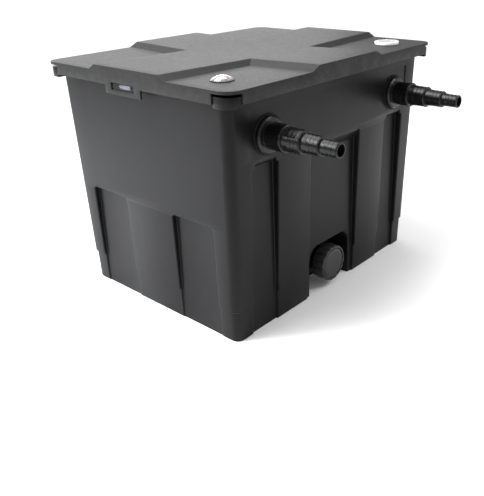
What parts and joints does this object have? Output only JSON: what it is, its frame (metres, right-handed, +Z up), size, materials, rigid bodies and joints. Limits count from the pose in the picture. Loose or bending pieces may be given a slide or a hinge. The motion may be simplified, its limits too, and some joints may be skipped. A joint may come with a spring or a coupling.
{
  "type": "pond filter box",
  "caption": "Rectangular flow-through pond filter tub with a cross-ribbed lift-off lid, stepped hose tails, capped drain, foam and biological media.",
  "frame": {"origin": "centre of the tub's footprint, on the ground", "axes": "+Z up, +X along the long side towards the outlet, -Y out of the side that carries the hose tails and the drain"},
  "size_m": [0.6, 0.6025, 0.461],
  "materials": {
    "tub_plastic": "satin",
    "lid_plastic": "matte grained",
    "catch_plastic": "glossy",
    "fitting_plastic": "glossy",
    "seal_rubber": "matte",
    "inner_plastic": "satin",
    "cap_plastic": "satin",
    "foam_open": "open-cell foam",
    "foam_dense": "open-cell foam",
    "rod_plastic": "satin",
    "ring_ceramic": "porous",
    "ball_plastic": "satin",
    "dial_white": "glossy",
    "pointer_red": "glossy",
    "clear_lens": "clear",
    "float_red": "glossy"
  },
  "bodies": {
    "tub": {"filter_box": "tub_plastic", "latch_catch_left": "catch_plastic", "latch_catch_right": "catch_plastic", "inlet_hose_tail": "fitting_plastic", "outlet_hose_tail": "fitting_plastic", "inlet_seal": "seal_rubber", "outlet_seal": "seal_rubber", "inlet_lock_nut": "fitting_plastic", "outlet_lock_nut": "fitting_plastic", "inlet_elbow": "inner_plastic", "outlet_strainer": "inner_plastic", "drain_spout": "fitting_plastic", "drain_lock_nut": "fitting_plastic", "partition_coarse_side": "inner_plastic", "partition_media_side": "inner_plastic", "media_grid_coarse": "inner_plastic", "media_grid_fine": "inner_plastic", "media_grid_bio": "inner_plastic", "grid_feet_coarse": "inner_plastic", "grid_feet_fine": "inner_plastic", "grid_feet_bio": "inner_plastic", "foam_coarse": "foam_open", "foam_fine": "foam_dense", "foam_rods_coarse": "rod_plastic", "foam_rods_fine": "rod_plastic", "ceramic_rings": "ring_ceramic", "bio_balls": "ball_plastic"},
    "lid": {"lid": "lid_plastic", "thermometer_bezel": "dial_white", "thermometer_dial": "dial_white", "thermometer_lens": "clear_lens", "thermometer_probe": "fitting_plastic", "indicator_gasket": "seal_rubber", "indicator_dome": "clear_lens", "indicator_guide": "inner_plastic"},
    "indicator_float": {"indicator_float": "float_red"},
    "thermometer_pointer": {"thermometer_pointer": "pointer_red"},
    "drain_seal": {"drain_seal": "seal_rubber"},
    "drain_cap": {"drain_cap": "cap_plastic"}
  },
  "joints": [
    {"name": "lid_lift", "type": "slide", "parent": "tub", "child": "lid", "axis": [0, 0, 1], "range_m": [0, 0.16]},
    {"name": "indicator_rise", "type": "slide", "parent": "lid", "child": "indicator_float", "axis": [0, 0, 1], "range_m": [0, 0.0024]},
    {"name": "thermometer_turn", "type": "hinge", "parent": "lid", "child": "thermometer_pointer", "pos_m": [0.222, -0.179, 0.4555], "axis": [0, 0, 1], "range_deg": [-110, 110]},
    {"name": "drain_cap_travel", "type": "slide", "parent": "tub", "child": "drain_seal", "axis": [0, -1, 0], "range_m": [0, 0.022]},
    {"name": "drain_cap_turn", "type": "hinge", "parent": "drain_seal", "child": "drain_cap", "pos_m": [0, -0.2, 0.05], "axis": [0, -1, 0], "range_deg": [0, 1800]}
  ],
  "couplings": [
    {"joint": "drain_cap_travel", "follows": "drain_cap_turn", "m_per_rad": 0.00070028}
  ]
}
